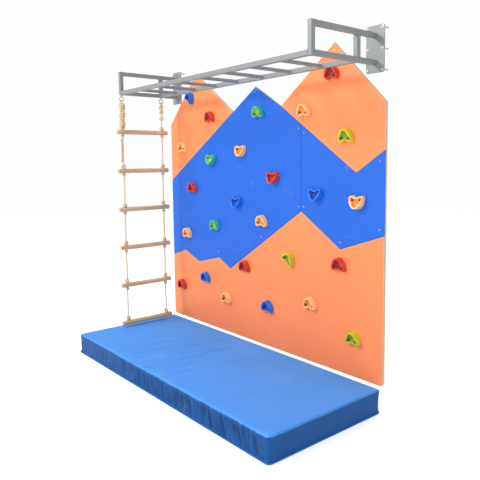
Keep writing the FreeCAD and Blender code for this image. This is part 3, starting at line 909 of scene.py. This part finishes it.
def ropeAlong(points, section, radius, closed=False, pitch=None):
    line, length = evenly(points, ropeLook["step"], closed)
    mesh = sweptMesh(line, radius, profile=section, twistLength=pitch or ropeLook["pitch"], closed=closed)
    return mesh, line, length


def around(x, y, z, reach, angle):
    # a point on a circle round an upright line
    return Vector((x + reach * math.cos(angle), y + reach * math.sin(angle), z))


def knotRope(centre, height, width, ropeRadius, section, cone=0.0, turn=0.0):
    # an overhand knot pulled tight: a trefoil of rope round the standing part
    ring, tubeReach = width * 0.5 - ropeRadius - width * 0.11, width * 0.11
    rise = height / 2 - ropeRadius
    line = []
    for i in range(90):
        t = math.tau * i / 90
        reach = ring + tubeReach * math.cos(3 * t)
        up = rise * math.sin(3 * t)
        reach *= 1 - cone * (up + rise) / (2 * rise)
        line.append(around(centre[0], centre[1], centre[2] + up, reach, 2 * t + turn))
    return ropeAlong(line, section, ropeRadius, closed=True, pitch=ropeLook["knotPitch"])[0]


def stretchLine(x, y, top, bottom, sway):
    # a nearly straight hanging line, with the small lean that a rope keeps
    dx, dy = sway
    return curveLine([(x, y, top), (x + dx, y + dy, top + (bottom - top) * 0.33),
                      (x - dy, y + dx, top + (bottom - top) * 0.67), (x, y, bottom)])


def makeRopeLadder():
    cotton, wood, section = makeRopeMaterial(), makeRungWood(), strandProfile()
    radius = ropeLook["radius"]
    rungCount = len([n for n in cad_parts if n.startswith("ladder_rung_")])
    for i in range(1, rungCount + 1):
        body = f"ladder_stage_{i}"
        rungLow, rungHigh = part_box(f"ladder_rung_{i}")
        rungRadius = (rungHigh.z - rungLow.z) / 2
        knotLow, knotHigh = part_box(f"ladder_knots_{i}")

        # turned rung with eased ends
        bm = bmesh.new()
        barAlongY(bm, (rungLow + rungHigh) / 2, rungHigh.y - rungLow.y, rungRadius)
        roundEdges(bm, [e for e in bm.edges if spanOf(e, 1) < 1e-5], rungLook["endBevel"], 4)
        addPiece(f"ladderRung{i}", toMesh("ladderRung", bm), wood, body, [f"ladder_rung_{i}"], 45,
                 flats=True)

        for side in ("front", "rear"):
            x, y, _ = boxMiddle(f"rope_{side}_{i}")
            turn = i * 1.3 + (0.7 if side == "rear" else 0.0)
            upperHeight = knotHigh.z - rungHigh.z
            lowerHeight = rungLow.z - knotLow.z
            pair = []
            for place, height, knot, phase in (
                    (rungHigh.z + upperHeight * 0.5, upperHeight, ropeLook["upperKnot"], turn),
                    (rungLow.z - lowerHeight * 0.5 - 0.001, lowerHeight + 0.002, ropeLook["lowerKnot"], turn + 1)):
                pair.append(knotRope((x, y, place), height, knot["width"], radius * knot["rope"], section,
                                     knot["cone"], phase))
            addPiece(f"{side}Knots{i}", joined("knots", pair), cotton, body,
                                   [f"ladder_knots_{i}"], 60)
        for side in ("front", "rear"):
            x, y, _ = boxMiddle(f"rope_{side}_{i}")
            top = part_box("hitch_" + side)[1].z - 0.028 if i == 1 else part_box(f"rope_{side}_{i}")[1].z - radius
            sway = ropeLook["sway"][i - 1]
            route = stretchLine(x, y, top, knotLow.z, sway if side == "front" else (-sway[0], sway[1]))
            mesh, line, length = ropeAlong(route, section, radius)
            rope = addPiece(f"{side}Rope{i}", mesh, cotton, body, [f"rope_{side}_{i}"], 60)
    makeHitches(cotton, section)
    print("rope ladder tied")


def coilOf(x, y, bottom, top, reach, radius, section, phase=0.0):
    # close turns of rope wound round the strands
    turns = (top - bottom) / (2.15 * radius)
    count = max(12, round(turns * 22))
    line = []
    for k in range(count + 1):
        t = k / count
        angle = phase + math.tau * turns * t
        wander = reach * (1 + 0.05 * noise.noise(Vector((t * 6, phase, 1))))
        line.append(around(x, y, bottom + (top - bottom) * t, wander, angle))
    return ropeAlong(line, section, radius)[0]


def strandsOf(x, y, bottom, top, reach, radius, count, section, phase=0.0):
    # strands laid side by side round the standing part, slowly twisting
    parts = []
    for strand in range(count):
        line = []
        for k in range(31):
            t = k / 30
            angle = phase + math.tau * strand / count + t * 0.9
            wander = reach * (1 + 0.10 * math.sin(t * 9 + strand * 2))
            line.append(around(x, y, bottom + (top - bottom) * t, wander, angle))
        parts.append(ropeAlong(line, section, radius)[0])
    return parts


def makeHitches(cotton, section):
    look, radius = hitchLook, ropeLook["radius"]
    for side in ("front", "rear"):
        low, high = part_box("hitch_" + side)
        x, y, _ = boxMiddle("hitch_" + side)
        ringZ, reach = high.z - look["eyeDrop"], look["eyeLoop"]
        turns = [math.tau * k / 40 for k in range(40)]
        loop = [Vector((x + reach * math.cos(t), y, ringZ + reach * math.sin(t))) for t in turns]
        parts = [ropeAlong(loop, section, radius * 0.92, closed=True)[0]]
        top, bottom = ringZ - 0.012, low.z
        if side == "front":
            # bundle of returned strands, bound at its head, middle and foot
            foot = bottom - 0.036
            parts += strandsOf(x, y, foot, top - 0.004, look["strandReach"], radius, look["strands"], section, 0.4)
            for start, end, phase in ((top - 0.052, top - 0.008, 0.2), (top - 0.118, top - 0.080, 1.9),
                                      (foot + 0.002, foot + 0.038, 4.0)):
                parts.append(coilOf(x, y, start, end, look["bindingReach"], radius * look["bindingRope"], section,
                                    phase))
        else:
            parts += strandsOf(x, y, bottom + 0.006, top, 0.0100, radius * 0.9, 2, section)
            places = (top - 0.018, top - 0.062, bottom + 0.020)
            for z, (height, width, rope, cone, turn) in zip(places, look["rearKnots"]):
                parts.append(knotRope((x, y, z), height, width, radius * rope, section, cone, turn))
        addPiece(side + "Hitch", joined("hitch", parts), cotton, "ladder_stage_1", ["hitch_" + side], 60)
    low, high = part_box("ladder_tail")
    x, y, _ = boxMiddle("ladder_tail")
    route = curveLine([(x, y + 0.001, high.z), (x + 0.002, y, high.z - 0.06),
                       (x - 0.002, y + 0.001, low.z + 0.07), (x, y, low.z)])
    mesh, line, length = ropeAlong(route, section, radius)
    tail = addPiece("ropeTail", mesh, cotton, "ladder_stage_2", ["ladder_tail"], 60)


matLook = {
    "colour": (74, 148, 228),
    # the sides' blue is the top's blue painted darker, as painted shade
    "side": (0, 72, 136),
    "piping": (16, 92, 180),
    "dust": (150, 178, 214),
    "cellX": 0.0042, "cellY": 0.015, "cellZ": 0.0075,
    "edgeRadius": 0.012, "cornerRadius": 0.026,
    "crown": 0.0120,
    "gather": 0.0150,
    "belly": 0.0028,
    "crease": 0.0050, "creaseWidth": 0.0065, "valleyWidth": 0.010, "valleyAway": 0.015,
    # creases across the top: where along the mat, how far back they run, how strong
    "creases": [(0.20, 0.55, 0.6), (0.255, 0.95, 0.9), (0.305, 0.70, 0.7), (0.345, 1.05, 1.0),
                (0.395, 0.60, 0.6), (0.435, 1.00, 1.0), (0.49, 0.75, 0.8), (0.535, 0.90, 0.9), (0.60, 0.50, 0.5)],
    "pipingRadius": 0.0042, "pipingOut": 0.005, "pipingStep": 0.012,
    "fill": 0.9,
}


def makeVinyl(name, litTopColour, shadedSideColour):
    material, tree, shader, place = newMaterial(name, Specular_IOR_Level=0.22)
    normal = addNode(tree, "ShaderNodeNewGeometry").outputs["Normal"]
    up = addNode(tree, "ShaderNodeSeparateXYZ", None, Vector=normal).outputs[2]
    drift = useGroup(tree, "drift", Vector=place, Scale=3.0, Amount=0.05)["Value"]
    # painted light: faces turned up take the lighter top colour and the sides the darker one, as if lit from above
    tone = mixColour(tree, spread(tree, up, 0.15, 0.85), toLinear(shadedSideColour), toLinear(litTopColour))
    patches = spread(tree, noiseOf(tree, place, 5.0, 5.0, 0.6), 0.5, 0.75)
    dust = times(tree, patches, spread(tree, up, 0.3, 0.9, 0.0, 0.10))
    tone = mixColour(tree, dust, scaled(tree, tone, drift), toLinear(matLook["dust"]))
    # painted shade and highlight: darker in the gathers' valleys and beside the creases, lighter on the crease
    # crests
    paintedFoldShading = addNode(tree, "ShaderNodeAttribute", {"attribute_name": "paintedFoldShading"}).outputs["Fac"]
    tone = scaled(tree, tone, minus(tree, 1.0, times(tree, paintedFoldShading, 0.5)))
    paintWith(tree, shader, tone, plus(tree, 0.48, times(tree, noiseOf(tree, place, 9.0, 4.0), 0.18)))
    weave = useGroup(tree, "weave", Vector=place, Scale=2600.0)["Height"]
    pebble = useGroup(tree, "tooth", Vector=place, Scale=300.0)["Height"]
    bumpFrom(tree, shader, plus(tree, times(tree, weave, 0.25), pebble), 0.16, 0.0006)
    return material


def ridge(place, seed, sharpness):
    # a crinkle: narrow crests where a slow noise crosses zero
    return max(0.0, 1 - abs(noise.noise(Vector((place.x, place.y, seed)))) * sharpness)


def gatherAt(along, z, seed):
    # pulled cloth on a side: upright folds that lean and fade, from 0 in a valley to 1 on a crest
    tilt = 0.35 * noise.noise(Vector((along * 1.7, seed + 8, 0.5))) + 0.12
    skewed = along + tilt * (z - 0.08)
    wide = ridge(Vector((skewed * 15, z * 2.2)), seed, 3.6)
    mid = ridge(Vector((skewed * 31, z * 4.0)), seed + 4, 3.2)
    fine = noise.noise(Vector((skewed * 75, z * 7.0, seed + 6)))
    return 0.55 * wide + 0.38 * mid + 0.10 * fine


def creaseAt(u, w, length):
    # long pinched lines across the top: a thin crest with a shallow valley beside it
    look, total = matLook, 0.0
    for i, (place, run, strength) in enumerate(look["creases"]):
        slow = noise.noise(Vector((w * 2.2, i * 3.7, 1.5)))
        quick = noise.noise(Vector((w * 9, i * 3.7, 2.5)))
        away = (u - place) * length - 0.10 * w - (0.016 * slow + 0.004 * quick)
        if abs(away) > 0.05:
            continue
        fade = 1 - smoothStep(run - 0.35, run, w)
        broken = 0.45 + 0.55 * smoothStep(-0.25, 0.15, noise.noise(Vector((w * 5, i * 5.3, 3.5))))
        crest = math.exp(-(away / look["creaseWidth"]) ** 2)
        valley = math.exp(-((away - look["valleyAway"]) / look["valleyWidth"]) ** 2)
        total += strength * fade * broken * (crest - 0.7 * valley)
    return total


def matBlank(low, high):
    # a fine grid for the top, drawn down row by row into the sides and closed underneath
    look, size = matLook, high - low
    cellsX, cellsY = round(size.x / look["cellX"]), round(size.y / look["cellY"])
    bm = bmesh.new()
    place = moved((low.x + high.x) / 2, (low.y + high.y) / 2, high.z) @ sized(size.x, size.y, 1)
    bmesh.ops.create_grid(bm, x_segments=cellsX, y_segments=cellsY, size=0.5, matrix=place)
    rim = [e for e in bm.edges if e.is_boundary]
    rows = round(size.z / look["cellZ"])
    for _ in range(rows):
        added = bmesh.ops.extrude_edge_only(bm, edges=rim)["geom"]
        rim = [g for g in added if isinstance(g, bmesh.types.BMEdge) and g.is_boundary]
        verts = [g for g in added if isinstance(g, bmesh.types.BMVert)]
        bmesh.ops.translate(bm, verts=verts, vec=(0, 0, -size.z / rows))
    bmesh.ops.contextual_create(bm, geom=rim)
    bmesh.ops.recalc_face_normals(bm, faces=bm.faces[:])
    print("mat blank:", cellsX * cellsY, "cells on top")
    return bm


def roundMat(bm, low, high):
    # round the upright corners, then the top edge
    edge, corner = matLook["edgeRadius"], matLook["cornerRadius"]
    for v in bm.verts:
        p = v.co.copy()
        innerX = min(max(p.x, low.x + corner), high.x - corner)
        innerY = min(max(p.y, low.y + corner), high.y - corner)
        dx, dy = p.x - innerX, p.y - innerY
        away = math.hypot(dx, dy)
        if away > 1e-9 and dx and dy:
            square = max(abs(dx), abs(dy))
            p.x, p.y = innerX + dx * square / away, innerY + dy * square / away
        drop = high.z - p.z
        outX = smoothStep(edge, 0, min(p.x - low.x, high.x - p.x))
        outY = smoothStep(edge, 0, min(p.y - low.y, high.y - p.y))
        signX = 1 if p.x > 0 else -1
        signY = 1 if p.y > (low.y + high.y) / 2 else -1
        rounding = edge * 0.45 * smoothStep(edge, 0, drop)
        p.x -= signX * rounding * outX
        p.y -= signY * rounding * outY
        if drop < 1e-6:
            p.z -= edge * 0.45 * max(outX, outY)
        v.co = p


def foldMat(bm, low, high):
    look, size = matLook, high - low
    paintedFoldShading = bm.verts.layers.float.new("paintedFoldShading")
    for v in bm.verts:
        p = v.co
        if p.z < 0.004:
            continue
        u = (p.x - low.x) / size.x
        w = (p.y - low.y) / size.y
        nearTop = smoothStep(high.z - 0.02, high.z - 0.002, p.z)
        # crown of the foam under a tight cover, with creases where the cover is pulled
        swell = (16 * max(0.0, u * (1 - u) * w * (1 - w))) ** 0.5
        p.z += look["crown"] * nearTop * (0.90 + 0.10 * swell)
        pull = nearTop * creaseAt(u, w, size.x)
        p.z += look["crease"] * pull
        p.z += 0.0030 * nearTop * noise.noise(Vector((p.x * 2.6, p.y * 3.1, 5.0)))
        p.z += 0.0012 * nearTop * noise.noise(Vector((p.x * 9, p.y * 8, 6.0)))
        # gathers on the long sides, light pulls on the short ones
        body = smoothStep(0.004, 0.03, p.z) * (1 - 0.75 * smoothStep(high.z - 0.035, high.z - 0.004, p.z))
        onFront = 1 - smoothStep(0, 0.02, p.y - low.y)
        onBack = 1 - smoothStep(0, 0.02, high.y - p.y)
        onLeft = 1 - smoothStep(0, 0.02, p.x - low.x)
        onRight = 1 - smoothStep(0, 0.02, high.x - p.x)
        calm = smoothStep(0.0, 0.05, u) * smoothStep(0.0, 0.07, 1 - u)
        strength = calm * (0.22 + 0.50 * smoothStep(0.12, 0.42, u) + 0.28 * smoothStep(0.50, 0.72, u))
        crest = gatherAt(p.x, p.z, 0.0)
        p.y += onFront * body * look["gather"] * (0.6 - strength * crest * 1.1)
        # painted shade in the gathers' valleys; the creases add painted highlight on their crests and painted shade
        # beside them
        v[paintedFoldShading] = onFront * body * strength * smoothStep(0.45, 0.05, crest) - 0.3 * pull
        behind = body * look["gather"] * (0.4 - 0.6 * calm * gatherAt(p.x, p.z, 9.0))
        p.y -= onBack * (behind - 0.009 * smoothStep(0.06, 0.13, p.z))
        soft = smoothStep(0.0, 0.12, w) * smoothStep(0.0, 0.12, 1 - w)
        p.x += onLeft * body * 0.003 * (1 - soft * gatherAt(p.y * 0.6, p.z, 3.0))
        p.x -= onRight * body * 0.003 * (1 - 0.8 * soft * gatherAt(p.y * 0.5, p.z, 6.0))
        belly = math.sin(math.pi * min(1.0, p.z / high.z)) * look["belly"]
        p.y += (onBack - onFront) * belly
        p.x += (onRight - onLeft) * belly * soft


def makePiping():
    # welted piping round the foot
    look = matLook
    low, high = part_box("mat_piping")
    r = look["cornerRadius"] + look["pipingOut"]
    line = []
    for cx, cy, start in ((high.x - r, high.y - r, 0), (low.x + r, high.y - r, 1),
                          (low.x + r, low.y + r, 2), (high.x - r, low.y + r, 3)):
        for k in range(9):
            angle = math.pi / 2 * (start + k / 8)
            line.append(around(cx, cy, (low.z + high.z) / 2, r - look["pipingRadius"], angle))
    points, _ = evenly(line, look["pipingStep"], closed=True)
    points = [p + Vector((0, 0, 0.0008 * noise.noise(p * 9))) for p in points]
    welt = makeVinyl("pipingVinyl", look["piping"], look["piping"])
    pipe = joined("matPiping", [sweptMesh(points, look["pipingRadius"], closed=True, sides=3)])
    addPiece("matPiping", pipe, welt, "mat", ["mat_piping"], 60)


def makeMat():
    low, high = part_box("mat_cover")
    bm = matBlank(low, high)
    roundMat(bm, low, high)
    foldMat(bm, low, high)
    vinyl = makeVinyl("blueVinyl", matLook["colour"], matLook["side"])
    cover = addPiece("matCover", toMesh("matCover", bm), vinyl, "mat", ["mat_cover", "mat_foam"], 70)
    makePiping()
    print("mat sewn")


stageLook = {"floor": (240, 240, 238), "sky": (0.95, 0.97, 1.0, 1.0), "skyPower": 0.66, "floorGlow": 0.42,
             "backdrop": (0.985, 0.987, 0.99, 1.0)}

# the camera's place from the face, its height and turns in radians, its lens in millimetres
cameraLook = {"place": (3.337, -2.911), "height": 1.625, "yaw": 0.883, "pitch": -0.096, "roll": -0.012,
              "lens": 42.0, "shift": -0.0498}


def makeStage():
    bm = bmesh.new()
    bmesh.ops.create_grid(bm, x_segments=1, y_segments=1, size=40)
    floor = newObject("paleFloor", toMesh("paleFloor", bm))
    material, tree, shader, place = newMaterial("paleFloor")
    drift = useGroup(tree, "drift", Vector=place, Scale=0.6, Amount=0.012)["Value"]
    tree.links.new(scaled(tree, toLinear(stageLook["floor"])[:3], drift), shader.inputs["Base Color"])
    shader.inputs["Roughness"].default_value = 0.75
    shader.inputs["Emission Color"].default_value = (1, 1, 1, 1)
    shader.inputs["Emission Strength"].default_value = stageLook["floorGlow"]
    floor.data.materials.append(material)
    world = bpy.data.worlds.new("softSky")
    world.use_nodes = True
    tree = world.node_tree
    light, seen = tree.nodes["Background"], tree.nodes.new("ShaderNodeBackground")
    light.inputs["Color"].default_value = stageLook["sky"]
    light.inputs["Strength"].default_value = stageLook["skyPower"]
    seen.inputs["Color"].default_value = stageLook["backdrop"]
    mix = tree.nodes.new("ShaderNodeMixShader")
    tree.links.new(tree.nodes.new("ShaderNodeLightPath").outputs["Is Camera Ray"], mix.inputs[0])
    tree.links.new(light.outputs[0], mix.inputs[1])
    tree.links.new(seen.outputs[0], mix.inputs[2])
    tree.links.new(mix.outputs[0], tree.nodes["World Output"].inputs[0])
    scene.world = world


# each light: place, disk size, power, colour
lightLook = {
    "keyLight": ((-2.2, -4.4, 5.0), 2.0, 250, (1.0, 0.97, 0.93)),
    "fillLight": ((4.6, -4.0, 2.4), 4.0, 75, (0.95, 0.97, 1.0)),
    "topLight": ((0.5, -1.4, 6.0), 4.0, 60, (1, 1, 1)),
    "backLight": ((-1.0, 4.5, 4.5), 3.0, 60, (1, 1, 1)),
}


def makeLights():
    middle = Vector((0.0, 0.2, 1.1))
    for name, (place, size, power, colour) in lightLook.items():
        light = bpy.data.lights.new(name, "AREA")
        light.shape = "DISK"
        light.size = size
        light.energy = power
        light.color = colour
        obj = newObject(name, light)
        obj.location = place
        obj.rotation_euler = (middle - Vector(place)).to_track_quat("-Z", "Y").to_euler()


def makeCamera():
    look = cameraLook
    camera = newObject("camera", bpy.data.cameras.new("camera"))
    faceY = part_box("panel_lower")[0].y
    camera.location = (look["place"][0], look["place"][1] + faceY, look["height"])
    turn = Matrix.Rotation(look["yaw"], 3, "Z")
    turn = turn @ Matrix.Rotation(math.pi / 2 + look["pitch"], 3, "X") @ Matrix.Rotation(look["roll"], 3, "Z")
    camera.rotation_euler = turn.to_euler()
    camera.data.sensor_width = 36
    camera.data.lens = look["lens"]
    camera.data.shift_y = look["shift"]
    camera.data.clip_end = 200
    scene.camera = camera
    scene.view_settings.view_transform = "Standard"


makeCamera()
dressBoards()
zinc = dressFixings()
makeScrews(zinc)
print("boards and fixings done")
makeHolds()
print("holds done")
framePaint = makeFramePaint()
for side in ("left", "right"):
    makeBracket(side, framePaint)
makeOverheadLadder(framePaint)
print("steel frame done")
makeRopeLadder()
makeMat()
makeStage()
makeLights()
print("stage and light done")
